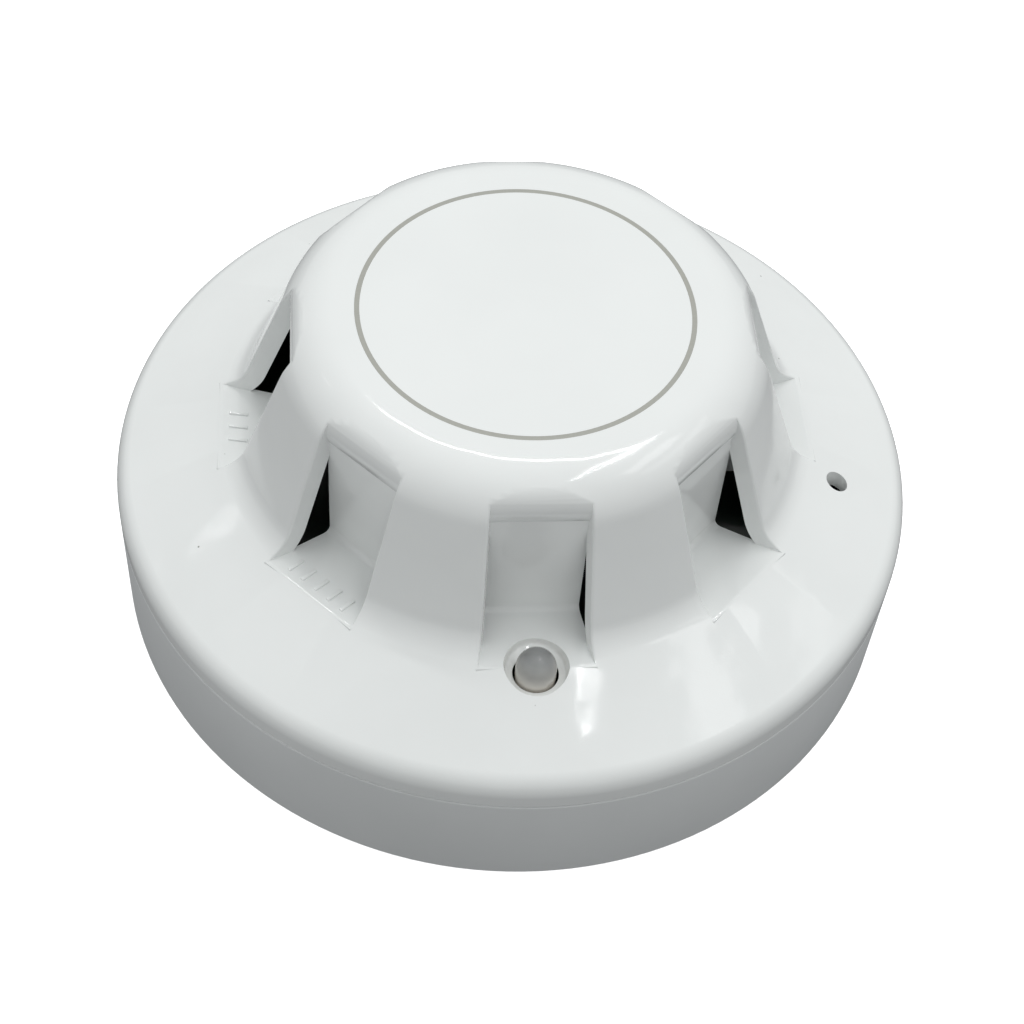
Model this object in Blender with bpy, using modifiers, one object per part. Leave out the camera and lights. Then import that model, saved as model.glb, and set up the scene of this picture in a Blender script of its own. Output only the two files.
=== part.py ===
"""Ceiling-mounted heat detector: a plug-in head twisted onto a deep mounting base.

Units are metres. +Z points out of the detector's face, Z = 0 is the face that lies on
the ceiling, and the indicator light is on the -Y side. Azimuths are degrees from -Y
towards +X, which is also the way a positive turn about Z goes.
"""
import math

import bmesh
import bpy
from mathutils import Matrix, Vector

# ---- overall sizes ------------------------------------------------------------------
BODY_RADIUS = 0.0500          # rim of the head and skirt of the base
BASE_HEIGHT = 0.0155          # height of the base's skirt
TOTAL_HEIGHT = 0.0451         # ceiling face to the top of the dome
PART_GAP = 0.0003             # joint line between pieces that touch
RECESS_COUNT = 8              # air recesses round the dome
RING_STEPS = 64               # facets round the large turned pieces

# ---- outer cover --------------------------------------------------------------------
COVER_WALL = 0.0024
SHOULDER_RADIUS = 0.0075      # round edge between the flat top and the dome's side
FLARE_RADIUS = 0.0050         # hollow curve between the dome's side and the flange
RIM_RADIUS = 0.0030           # round edge of the flange
DOME_TOP_RADIUS = 0.02766     # where flat top and side would meet without the shoulder
DOME_FOOT_RADIUS = 0.0348     # where side and flange would meet without the flare
FLANGE_RISE = 0.0061          # flange's climb from the rim to the dome's foot
RIM_HEIGHT = 0.0037           # joint line to where slope and rim would meet

# ---- air recesses -------------------------------------------------------------------
RECESS_WALL_RADIUS = 0.0274   # back wall of a recess, from the detector's axis
RECESS_FOOT_RADIUS = 0.0371   # where a recess's floor runs out into the flange
LIP_RADIUS = 0.0037           # rounding of the dome's skin over a recess
LIP_START = 60.0              # where that rounding leaves the shoulder, degrees up
LIP_KINK = 6.0                # how much steeper than the shoulder it starts
LIP_END = -30.0
RECESS_TOP_DROP = 0.0037      # dome top to where a recess's width is taken
RECESS_FLOOR_DROP = 0.0018    # recess floor at the back wall, below its outer edge
RECESS_HALF_WIDTH_TOP = 0.0059
RECESS_HALF_WIDTH_FOOT = 0.00685
RECESS_DRAFT = 0.19           # how fast a recess widens outwards, mm in mm
PANEL_WALL = 0.0018
PANEL_TUCK = 0.00015          # how far a panel's foot reaches under the pillars
PANEL_HALF_WIDTH = 0.0057     # leaves the air slots between a panel and the pillars
KNEE_RADIUS = 0.0008
CUTTER_SINK = 0.0005          # how far the wall is cut below a floor, before the floor is added
CUTTER_REACH = 0.0015         # how far the cut runs out over the flange
WALL_BITE = 0.6               # share of a wall that a cut or a boss goes into

# ---- face ring, light and key hole --------------------------------------------------
FACE_RING_RADIUS = 0.01986
FACE_RING_WIDTH = 0.0006
FACE_RING_DEPTH = 0.0006
LED_RADIUS = 0.0024
LED_AXIS_RADIUS = 0.0364
LED_SINK = 0.0010             # centre of the light's dome, below the flange
LED_BODY_LENGTH = 0.0061
LED_COLLAR_STEP = 0.00035
LED_COLLAR_HEIGHT = 0.0010
LED_LEG_RADIUS = 0.0003
LED_LEG_SPACING = 0.00254
LED_FUNNEL_STEP = 0.00150     # width of the funnel round the light
LED_FUNNEL_DEPTH = 0.0019
LED_FUNNEL_LEAN = 0.00035      # its wall comes in by this much on the way down
KEY_HOLE_RADIUS = 0.0014
LOCK_INSET = 0.00195           # lock screw's axis, inside the tray's outer face
LOCK_AZIMUTH = 76.8

# ---- head chassis and what it carries -----------------------------------------------
LEDGE_GAP = 0.0022            # between the base's ledges and the head's tray
TERMINAL_GAP = 0.0002         # between a terminal screw, fully raised, and the tray
CHASSIS_WALL = 0.0016
CHASSIS_FLOOR = 0.0016
CHASSIS_HEIGHT = 0.0073
BOARD_GAP = 0.0008            # between the board's edge and the tray's wall
BOARD_THICKNESS = 0.0016
BOARD_LIFT = 0.0026           # tray's floor to the board
POST_RADIUS = 0.0022
BOSS_RADIUS = 0.0030
BOSS_INSET = 0.0035           # boss's axis, inside the tray's wall
BOSS_AZIMUTHS = (22.5, 142.5, 262.5)
POST_AXIS_RADIUS = 0.0285
POST_AZIMUTHS = (10.0, 105.0, 195.0)
SCREW_CROWN = 0.3             # rounding of a screw's head, as a share of its height
CROSS_LENGTH = 1.2            # arm of a screw's cross recess, as a share of the head's radius
CROSS_WIDTH = 0.4             # and its width, as a share of the head's height
CHASSIS_SCREW = dict(shank=0.0011, head=0.0026, head_height=0.0016, length=0.0078)
BOARD_SCREW = dict(shank=0.0009, head=0.0019, head_height=0.0013, length=0.0040)
LOCK_SCREW_RADIUS = 0.0015
LOCK_SCREW_LENGTH = 0.0060
LOCK_SLEEVE_WALL = 0.0006
LOCK_BOSS_WALL = 0.0006
HEX_KEY_RADIUS = 0.00085

# ---- parts on the board: (length, width, height), azimuth, distance in from its edge;
# the can is measured in from where the dome meets the flange
CONTROLLER = dict(size=(0.0100, 0.0062, 0.0022), azimuth=225.0, inset=0.0332)
BRIDGE = dict(size=(0.0048, 0.0062, 0.0026), azimuth=112.5, inset=0.0057)
TRANSISTOR = dict(size=(0.0066, 0.0062, 0.0024), azimuth=292.5, inset=0.0072)
CAPACITOR = dict(radius=0.0031, height=0.0056, azimuth=157.5, inset=0.0013)
PACKAGE_EDGE = 0.0003

# ---- sensing chamber ----------------------------------------------------------------
CAGE_GAP = 0.0018             # between the cage and the recess panels
CAGE_WALL = 0.0013
CAGE_TOP_GAP = 0.0011         # between the cage and the dome's inner face
CAGE_CROWN = 0.0040           # slope between the cage's wall and its top
CAGE_WINDOW_WIDTH = 0.0080
CAGE_WINDOW_LIFT = 0.0072     # cage's foot to the lower edge of its windows
CAGE_WINDOW_DROP = 0.0021     # slope's foot to the upper edge of the windows
SCREEN_WALL = 0.0004
SCREEN_LIFT = 0.0082          # cage's foot to the gauze sleeve
SCREEN_DROP = 0.0031          # cage's top to the sleeve's upper edge
BEAD_RADIUS = 0.0013
BEAD_STRETCH = 1.4            # a bead's height over its width
BEAD_DROP = 0.0086            # cage's top to a bead's middle
BEAD_INSET = 0.0063           # bead's axis, inside the cage's outer face
BEAD_LEAD_RADIUS = 0.00030
BEAD_LEAD_SPACING = 0.0014

# ---- base ---------------------------------------------------------------------------
BASE_WALL = 0.0022
BASE_FLOOR = 0.0022
CABLE_EYE_RADIUS = 0.0130
CABLE_COLLAR_WALL = 0.0014
CABLE_COLLAR_HEIGHT = 0.0028
FIXING_SLOT_RADIUS = 0.0255   # middle of each fixing slot, 51 mm apart
FIXING_SLOT_LENGTH = 0.0120
FIXING_SLOT_WIDTH = 0.0044
LUG_COUNT = 4
LUG_ANGLE = 14.0
LUG_GAP = 0.0005              # between a lug and the base's skirt
LUG_HEIGHT = 0.0020
LUG_AZIMUTH = 0.0
LEDGE_ANGLE = 22.0
LEDGE_DEPTH = 0.0030
LEDGE_HEIGHT = 0.0018
STOP_ANGLE = 2.0
TWIST_ANGLE = 20.0
STOP_SLACK = 1.5              # degrees between a lug and its stop
LOCK_RIB = (0.0052, 0.0080)   # block on the base's floor that the lock screw's tip enters
LOCK_RIB_GAP = 0.0006         # between that block and the head
LOCK_POCKET_DEPTH = 0.0020

# ---- terminals ----------------------------------------------------------------------
TERMINAL_COUNT = 4
TERMINAL_AZIMUTH = 45.0
TERMINAL_RADIUS = 0.0300
TERMINAL_BLOCK = (0.0110, 0.0115, 0.0012)
STRIP_WIDTH = 0.0070
STRIP_THICKNESS = 0.0007
CLAMP_SIZE = (0.0072, 0.0072, 0.0010)
TERMINAL_SCREW = dict(shank=0.0016, head=0.0030, head_height=0.0018, length=0.0042)
SCREW_CLEARANCE = 0.0004
CLAMP_LIFT = 0.0012           # the clamp's travel, two turns of the screw
LEAF_BEND = 0.0009            # radius of the strip's bends
LEAF_START = 0.0050
LEAF_END = 0.0135
LEAF_HEIGHT = 0.0026
BLADE_THICKNESS = 0.0008
BLADE_WIDTH = 0.0060
BLADE_FOOT = 0.0044
BLADE_OFFSET = 0.0098         # blade's place along the leaf, from the terminal's screw

# ---- sizes that follow --------------------------------------------------------------
RIM_Z = BASE_HEIGHT + PART_GAP
FLANGE_EDGE_Z = RIM_Z + RIM_HEIGHT
FLANGE_RUN = BODY_RADIUS - DOME_FOOT_RADIUS
FLANGE_SLOPE = FLANGE_RISE / FLANGE_RUN
RECESS_FOOT_Z = FLANGE_EDGE_Z + (BODY_RADIUS - RECESS_FOOT_RADIUS) * FLANGE_SLOPE
RECESS_FLOOR_Z = RECESS_FOOT_Z - RECESS_FLOOR_DROP
RECESS_TOP_Z = TOTAL_HEIGHT - RECESS_TOP_DROP
DOME_LEAN = math.atan2(DOME_FOOT_RADIUS - DOME_TOP_RADIUS,
                       TOTAL_HEIGHT - FLANGE_EDGE_Z - FLANGE_RISE)
SHOULDER_TANGENT = SHOULDER_RADIUS * math.tan((math.pi / 2 - DOME_LEAN) / 2)
SHOULDER_CENTRE = Vector((DOME_TOP_RADIUS - SHOULDER_TANGENT, TOTAL_HEIGHT - SHOULDER_RADIUS))
LED_DOME_Z = FLANGE_EDGE_Z + (BODY_RADIUS - LED_AXIS_RADIUS) * FLANGE_SLOPE - LED_SINK
BASE_SKIRT_INNER = BODY_RADIUS - BASE_WALL
STRIP_Z = BASE_FLOOR + TERMINAL_BLOCK[2] + PART_GAP
CLAMP_Z = STRIP_Z + STRIP_THICKNESS + PART_GAP
SCREW_HEAD_Z = CLAMP_Z + CLAMP_SIZE[2] + PART_GAP
LEAF_TOP_Z = STRIP_Z + STRIP_THICKNESS + LEAF_HEIGHT
CHASSIS_RADIUS = BASE_SKIRT_INNER - LEDGE_DEPTH - LEDGE_GAP
CHASSIS_INNER = CHASSIS_RADIUS - CHASSIS_WALL
CHASSIS_FLOOR_Z = SCREW_HEAD_Z + TERMINAL_SCREW["head_height"] + CLAMP_LIFT + TERMINAL_GAP
CHASSIS_TOP_Z = CHASSIS_FLOOR_Z + CHASSIS_HEIGHT
LEDGE_Z = CHASSIS_FLOOR_Z + LUG_HEIGHT + PART_GAP
LOCK_AXIS_RADIUS = CHASSIS_RADIUS - LOCK_INSET
BOSS_AXIS_RADIUS = CHASSIS_INNER - BOSS_INSET
BOARD_RADIUS = CHASSIS_INNER - BOARD_GAP
BOARD_Z = CHASSIS_FLOOR_Z + CHASSIS_FLOOR + BOARD_LIFT
BOARD_TOP_Z = BOARD_Z + BOARD_THICKNESS
CAGE_RADIUS = RECESS_WALL_RADIUS - PANEL_WALL - CAGE_GAP
CAGE_Z = BOARD_TOP_Z + PART_GAP
CAGE_TOP_Z = TOTAL_HEIGHT - COVER_WALL - CAGE_TOP_GAP
CAGE_SHOULDER_Z = CAGE_TOP_Z - CAGE_CROWN
BEAD_Z = CAGE_TOP_Z - BEAD_DROP
TURN = 360.0


def start_scene():
    """Empty the scene and make one collection for the parts and one for the cutters."""
    for old in list(bpy.data.objects):
        bpy.data.objects.remove(old, do_unlink=True)
    made = []
    for name in ("heat_detector", "cutters"):
        group = bpy.data.collections.new(name)
        bpy.context.scene.collection.children.link(group)
        made.append(group)
    return made


PARTS, CUTTERS = start_scene()


def polar(azimuth, radius, z=0.0):
    """Point at an azimuth, measured from -Y towards +X."""
    turn = math.radians(azimuth)
    return Vector((radius * math.sin(turn), -radius * math.cos(turn), z))


def facing(azimuth, radius=0.0, z=0.0):
    """Frame whose +X points outwards and +Y along the positive turn at an azimuth."""
    return Matrix.Translation(polar(azimuth, radius, z)) @ Matrix.Rotation(
        math.radians(azimuth - 90.0), 4, 'Z')


def rounded(corners, segments=4):
    """Polyline through (x, y) or (x, y, fillet radius) corners, with its fillets as arcs."""
    points = [Vector(corners[0][:2])]
    for before, corner, after in zip(corners, corners[1:], corners[2:]):
        here = Vector(corner[:2])
        if len(corner) < 3:
            points.append(here)
            continue
        radius = corner[2]
        back = (Vector(before[:2]) - here).normalized()
        ahead = (Vector(after[:2]) - here).normalized()
        half = back.angle(ahead) / 2
        centre = here + (back + ahead).normalized() * radius / math.sin(half)
        first = here + back * radius / math.tan(half) - centre
        last = here + ahead * radius / math.tan(half) - centre
        sweep = first.angle_signed(last)
        for step in range(segments + 1):
            turned = Matrix.Rotation(-sweep * step / segments, 2) @ first
            points.append(centre + turned)
    points.append(Vector(corners[-1][:2]))
    return [tuple(point) for point in points]


# ---- materials ----------------------------------------------------------------------
def plastic(name, colour, roughness, metallic=0.0, alpha=1.0):
    """Principled material with a part's colour, roughness and metallic value."""
    material = bpy.data.materials.new(name)
    material.use_nodes = True
    shader = material.node_tree.nodes["Principled BSDF"]
    shader.inputs["Base Color"].default_value = (*colour, 1.0)
    shader.inputs["Roughness"].default_value = roughness
    shader.inputs["Metallic"].default_value = metallic
    shader.inputs["Alpha"].default_value = alpha
    return material


WHITE = plastic("white_polycarbonate", (0.82, 0.84, 0.84), 0.25)
BASE_WHITE = plastic("white_abs", (0.78, 0.80, 0.80), 0.40)
GREY_INK = plastic("grey_ring", (0.45, 0.45, 0.41), 0.45)
BLACK = plastic("black_abs", (0.012, 0.013, 0.016), 0.45)
SCREEN = plastic("screen_gauze", (0.05, 0.055, 0.07), 0.5, 0.3)
CLEAR = plastic("clear_epoxy", (0.80, 0.78, 0.74), 0.08, 0.0, 0.6)
TINNED = plastic("tinned_wire", (0.70, 0.70, 0.68), 0.3, 1.0)
BRASS = plastic("nickel_plated_brass", (0.72, 0.68, 0.58), 0.28, 1.0)
STEEL = plastic("zinc_plated_steel", (0.62, 0.63, 0.65), 0.32, 1.0)
BOARD_GREEN = plastic("fibreglass_board", (0.02, 0.18, 0.08), 0.4)
CHIP = plastic("chip_moulding", (0.02, 0.02, 0.022), 0.5)
CAN = plastic("capacitor_sleeve", (0.03, 0.035, 0.09), 0.35)
GLASS_BEAD = plastic("glass_bead", (0.35, 0.10, 0.06), 0.2)


# ---- making and joining pieces ------------------------------------------------------
def add_object(name, data, material, matrix=None, group=None):
    """Link a mesh or curve as an object in the parts or the cutters."""
    thing = bpy.data.objects.new(name, data)
    (group or PARTS).objects.link(thing)
    if material:
        data.materials.append(material)
    if matrix:
        thing.matrix_world = matrix
    bpy.context.view_layer.update()
    return thing


def as_tool(thing):
    """Keep an object only as an operand of Booleans."""
    for group in list(thing.users_collection):
        group.objects.unlink(thing)
    CUTTERS.objects.link(thing)
    thing.hide_render = True
    thing.display_type = 'WIRE'
    return thing


def smooth(thing, angle=32.0):
    """Smooth shading with sharp edges past an angle."""
    thing.data.shade_smooth()
    thing.data.set_sharp_from_angle(angle=math.radians(angle))
    return thing


def turned(name, profile, material, steps=RING_STEPS, closed=False, matrix=None):
    """Turn a profile of (radius, height) points, run down its outer side, about Z."""
    mesh = bpy.data.meshes.new(name)
    points = [(radius, 0.0, height) for radius, height in profile]
    edges = [(index, index + 1) for index in range(len(points) - 1)]
    if closed:
        edges.append((len(points) - 1, 0))
    mesh.from_pydata(points, edges, [])
    thing = add_object(name, mesh, material, matrix)
    spin = thing.modifiers.new("turn", 'SCREW')
    spin.steps = steps
    spin.render_steps = steps
    spin.use_merge_vertices = True
    spin.merge_threshold = 0.00002
    spin.use_smooth_shade = True
    return thing


def ring(name, inner, outer, low, high, material, steps=RING_STEPS, matrix=None):
    """Plain ring between two radii and two heights."""
    profile = [(outer, high), (outer, low), (inner, low), (inner, high)]
    return turned(name, profile, material, steps, True, matrix)


def primitive(name, shape, material, matrix=None):
    """Object from a bmesh primitive."""
    mesh = bpy.data.meshes.new(name)
    shape.to_mesh(mesh)
    shape.free()
    return add_object(name, mesh, material, matrix)


def rod(name, radius, low, high, material, steps=24, matrix=None):
    """Plain cylinder along Z."""
    shape = bmesh.new()
    centre = Matrix.Translation((0.0, 0.0, (low + high) / 2))
    bmesh.ops.create_cone(shape, cap_ends=True, segments=steps, radius1=radius, radius2=radius,
                          depth=high - low, matrix=centre)
    return primitive(name, shape, material, matrix)


def block(name, size, material, matrix=None, low=0.0, bevel=0.0):
    """Box of a size, centred across X and Y, standing on the height low."""
    shape = bmesh.new()
    centre = Matrix.Translation((0.0, 0.0, low + size[2] / 2))
    bmesh.ops.create_cube(shape, size=1.0, matrix=centre @ Matrix.Diagonal((*size, 1.0)))
    thing = primitive(name, shape, material, matrix)
    if bevel:
        edge = thing.modifiers.new("edge", 'BEVEL')
        edge.width = bevel
        edge.segments = 1
    return thing


def plate(name, outline, low, high, material, matrix=None, holes=()):
    """Flat outline, with round or shaped holes in it, raised between two heights."""
    curve = bpy.data.curves.new(name, 'CURVE')
    curve.dimensions = '2D'
    curve.fill_mode = 'BOTH'
    curve.extrude = (high - low) / 2
    for loop in (outline, *holes):
        spline = curve.splines.new('POLY')
        spline.points.add(len(loop) - 1)
        for point, (x, y) in zip(spline.points, loop):
            point.co = (x, y, 0.0, 1.0)
        spline.use_cyclic_u = True
    lift = Matrix.Translation((0.0, 0.0, (low + high) / 2))
    return solid_from_curve(name, curve, material, (matrix or Matrix.Identity(4)) @ lift)


def solid_from_curve(name, curve, material, matrix):
    """Closed mesh object with a curve's shape."""
    guide = add_object(name + "_curve", curve, None, matrix)
    graph = bpy.context.evaluated_depsgraph_get()
    mesh = bpy.data.meshes.new_from_object(guide.evaluated_get(graph))
    welded = bmesh.new()
    welded.from_mesh(mesh)
    bmesh.ops.remove_doubles(welded, verts=welded.verts, dist=0.000002)
    bmesh.ops.recalc_face_normals(welded, faces=welded.faces)
    welded.to_mesh(mesh)
    welded.free()
    place = guide.matrix_world.copy()
    bpy.data.objects.remove(guide, do_unlink=True)
    mesh.name = name
    mesh.materials.clear()
    return add_object(name, mesh, material, place)


def circle(radius, steps=24, centre=(0.0, 0.0)):
    """Points round a circle."""
    return [(centre[0] + radius * math.cos(2 * math.pi * step / steps),
             centre[1] + radius * math.sin(2 * math.pi * step / steps))
            for step in range(steps)]


def sector(inner, outer, angle, steps=5):
    """Outline of a ring's sector, centred on +X."""
    half = math.radians(angle) / 2
    turns = [-half + 2 * half * step / steps for step in range(steps + 1)]
    far = [(outer * math.cos(turn), outer * math.sin(turn)) for turn in turns]
    near = [(inner * math.cos(turn), inner * math.sin(turn)) for turn in reversed(turns)]
    return far + near


def combine(target, tools, operation='DIFFERENCE'):
    """Cut tools from a piece, or join them to it, with one Boolean each."""
    for tool in tools:
        as_tool(tool)
        step = target.modifiers.new(operation.lower(), 'BOOLEAN')
        step.operation = operation
        step.solver = 'EXACT'
        step.object = tool
    return target


# ---- outer cover --------------------------------------------------------------------
def cover_profile():
    """Outer line of the cover, from the middle of the dome to the rim's lower edge."""
    return rounded([
        (0.0, TOTAL_HEIGHT),
        (DOME_TOP_RADIUS, TOTAL_HEIGHT, SHOULDER_RADIUS),
        (DOME_FOOT_RADIUS, FLANGE_EDGE_Z + FLANGE_RISE, FLARE_RADIUS),
        (BODY_RADIUS, FLANGE_EDGE_Z, RIM_RADIUS),
        (BODY_RADIUS, RIM_Z),
    ])


def flange_height(radius):
    """Height of the flange's straight slope at a radius."""
    return FLANGE_EDGE_Z + (BODY_RADIUS - radius) * FLANGE_SLOPE


def around(centre, radius, degrees):
    """Point of a circle in a side view, at an angle up from the horizontal."""
    turn = math.radians(degrees)
    return centre + radius * Vector((math.cos(turn), math.sin(turn)))


def lip_line(steps=5):
    """Rounded edge of the dome's skin over a recess, from the shoulder inwards."""
    start = around(SHOULDER_CENTRE, SHOULDER_RADIUS, LIP_START)
    first = LIP_START - LIP_KINK
    centre = start - around(Vector((0.0, 0.0)), LIP_RADIUS, first)
    return [around(centre, LIP_RADIUS, first + (LIP_END - first) * step / steps)
            for step in range(steps + 1)]


def recess_width(out, up):
    """Half width of a recess, which narrows inwards between the pillars."""
    edge = DOME_TOP_RADIUS + (TOTAL_HEIGHT - RECESS_TOP_Z) * math.tan(DOME_LEAN)
    share = (RECESS_TOP_Z - up) / (RECESS_TOP_Z - RECESS_FOOT_Z)
    foot = RECESS_HALF_WIDTH_FOOT - RECESS_DRAFT * (RECESS_FOOT_RADIUS - edge)
    top = RECESS_HALF_WIDTH_TOP
    return top + (foot - top) * share + RECESS_DRAFT * (out - edge)


def panel_width(out, _up):
    """Half width of a panel, which grows along its floor to meet the pillars."""
    share = max(0.0, (out - RECESS_WALL_RADIUS) / (RECESS_FOOT_RADIUS - RECESS_WALL_RADIUS))
    foot = RECESS_HALF_WIDTH_FOOT + PANEL_TUCK
    return PANEL_HALF_WIDTH + (foot - PANEL_HALF_WIDTH) * share


def recess_cutter(index):
    """Wedge that opens the dome's wall in front of one recess."""
    near = RECESS_WALL_RADIUS - PANEL_WALL * WALL_BITE
    low = RECESS_FLOOR_Z - CUTTER_SINK
    far = RECESS_FOOT_RADIUS + CUTTER_REACH
    slope = (RECESS_FOOT_Z - low) / (RECESS_FOOT_RADIUS - near)
    lip = lip_line()
    above = lip[0] + CUTTER_REACH * (lip[0] - lip[1]).normalized()
    side = [(far, above.y), (far, RECESS_FOOT_Z + CUTTER_REACH * slope), (near, low),
            (near, lip[-1].y), *reversed(lip), above]
    return wedge(f"recess_cutter_{index}", side, recess_width, facing(index * TURN / RECESS_COUNT))


def wedge(name, side, width, matrix):
    """Prism with an (out, up) side view, whose half width is a function of both."""
    shape = bmesh.new()
    rows = [[shape.verts.new((out, sign * width(out, up), up)) for out, up in side]
            for sign in (-1.0, 1.0)]
    count = len(side)
    shape.faces.new(rows[0])
    shape.faces.new(list(reversed(rows[1])))
    for here in range(count):
        after = (here + 1) % count
        shape.faces.new((rows[0][here], rows[1][here], rows[1][after], rows[0][after]))
    bmesh.ops.recalc_face_normals(shape, faces=shape.faces)
    mesh = bpy.data.meshes.new(name)
    shape.to_mesh(mesh)
    shape.free()
    return add_object(name, mesh, None, matrix)


def recess_panel(index):
    """Back wall and floor of one recess, joined by a round knee."""
    buried = lip_line()[-1].y + COVER_WALL / 2
    lip = RECESS_FOOT_RADIUS - PANEL_TUCK
    sunk = RECESS_FOOT_RADIUS + COVER_WALL / 3
    back = RECESS_WALL_RADIUS - PANEL_WALL
    outer = rounded([(RECESS_WALL_RADIUS, buried),
                     (RECESS_WALL_RADIUS, RECESS_FLOOR_Z, KNEE_RADIUS),
                     (lip, RECESS_FOOT_Z - PANEL_TUCK / 3)], 3)
    inner = rounded([(sunk, RECESS_FOOT_Z - PANEL_WALL),
                     (back, RECESS_FLOOR_Z - PANEL_WALL, KNEE_RADIUS), (back, buried)], 3)
    return wedge(f"recess_panel_{index}", outer + inner, panel_width,
                 facing(index * TURN / RECESS_COUNT))


def make_cover():
    """White cover: flange, dome, recesses, screw bosses, light and key holes."""
    cover = turned("outer_cover", cover_profile(), WHITE)
    wall = cover.modifiers.new("wall", 'SOLIDIFY')
    wall.thickness = COVER_WALL
    wall.offset = -1.0
    combine(cover, [recess_cutter(index) for index in range(RECESS_COUNT)])
    combine(cover, [recess_panel(index) for index in range(RECESS_COUNT)], 'UNION')
    boss_top = flange_height(BOSS_AXIS_RADIUS) - COVER_WALL * WALL_BITE
    boss_low = CHASSIS_FLOOR_Z + CHASSIS_FLOOR + PART_GAP
    bosses = [rod(f"boss_{index}", BOSS_RADIUS, boss_low, boss_top, None, 16,
                  facing(azimuth, BOSS_AXIS_RADIUS))
              for index, azimuth in enumerate(BOSS_AZIMUTHS)]
    combine(cover, bosses, 'UNION')
    screw_top = CHASSIS_FLOOR_Z + CHASSIS_SCREW["length"] + PART_GAP
    holes = [rod(f"boss_hole_{index}", CHASSIS_SCREW["shank"] + PART_GAP, boss_low - PART_GAP,
                 screw_top, None, 12, facing(azimuth, BOSS_AXIS_RADIUS))
             for index, azimuth in enumerate(BOSS_AZIMUTHS)]
    floor_z = flange_height(LED_AXIS_RADIUS)
    below = floor_z - 3 * COVER_WALL
    led_hole = LED_RADIUS + PART_GAP
    funnel_radius = LED_RADIUS + LED_FUNNEL_STEP
    funnel = turned("led_funnel", [
        (0.0, floor_z + LED_FUNNEL_DEPTH),
        (funnel_radius + LED_FUNNEL_LEAN, floor_z + LED_FUNNEL_DEPTH),
        (funnel_radius - LED_FUNNEL_LEAN, floor_z - LED_FUNNEL_DEPTH),
        (led_hole, floor_z - LED_FUNNEL_DEPTH - LED_FUNNEL_LEAN), (led_hole, below), (0.0, below)],
        None, 24, False, facing(0.0, LED_AXIS_RADIUS))
    key_z = flange_height(LOCK_AXIS_RADIUS)
    key = rod("key_hole", KEY_HOLE_RADIUS, key_z - 3 * COVER_WALL, key_z + COVER_WALL, None, 16,
              facing(LOCK_AZIMUTH, LOCK_AXIS_RADIUS))
    half = FACE_RING_WIDTH / 2 + PART_GAP
    groove = ring("ring_groove", FACE_RING_RADIUS - half, FACE_RING_RADIUS + half,
                  TOTAL_HEIGHT - FACE_RING_DEPTH - PART_GAP, TOTAL_HEIGHT + FACE_RING_DEPTH, None)
    combine(cover, [*holes, funnel, key, groove])
    return cover


def make_face_ring():
    """Grey ring let into the flat top."""
    half = FACE_RING_WIDTH / 2
    return ring("face_ring", FACE_RING_RADIUS - half, FACE_RING_RADIUS + half,
                TOTAL_HEIGHT - FACE_RING_DEPTH, TOTAL_HEIGHT, GREY_INK)


# ---- light and lock screw -----------------------------------------------------------
def make_led():
    """Clear domed indicator light on two legs."""
    low = LED_DOME_Z - LED_BODY_LENGTH
    dome = [(LED_RADIUS * math.sin(turn), LED_DOME_Z + LED_RADIUS * math.cos(turn))
            for turn in (math.pi / 2 * step / 6 for step in range(7))]
    collar = LED_RADIUS + LED_COLLAR_STEP
    profile = [*dome, (LED_RADIUS, low + LED_COLLAR_HEIGHT), (collar, low + LED_COLLAR_HEIGHT),
               (collar, low), (0.0, low)]
    led = turned("indicator_led", profile, CLEAR, 24, False, facing(0.0, LED_AXIS_RADIUS))
    legs = [rod(f"led_leg_{index}", LED_LEG_RADIUS, BOARD_TOP_Z + PART_GAP, low + LED_COLLAR_HEIGHT,
                None, 8, facing(0.0, LED_AXIS_RADIUS)
                @ Matrix.Translation((0.0, side * LED_LEG_SPACING / 2, 0.0)))
            for index, side in enumerate((-1, 1))]
    return combine(led, legs, 'UNION')


def make_lock():
    """Grub screw under the key hole, in a threaded brass sleeve."""
    top = CHASSIS_TOP_Z - PART_GAP
    place = facing(LOCK_AZIMUTH, LOCK_AXIS_RADIUS)
    grub = rod("lock_screw", LOCK_SCREW_RADIUS, top - LOCK_SCREW_LENGTH, top, STEEL, 20, place)
    socket = rod("lock_socket", HEX_KEY_RADIUS, top - LOCK_SCREW_LENGTH / 3, top + PART_GAP, None, 6,
                 place)
    combine(grub, [socket])
    inner = LOCK_SCREW_RADIUS + PART_GAP
    sleeve = ring("lock_sleeve", inner, inner + LOCK_SLEEVE_WALL, CHASSIS_FLOOR_Z + CHASSIS_FLOOR,
                  top, BRASS, 20, place)
    return grub, sleeve


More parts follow.
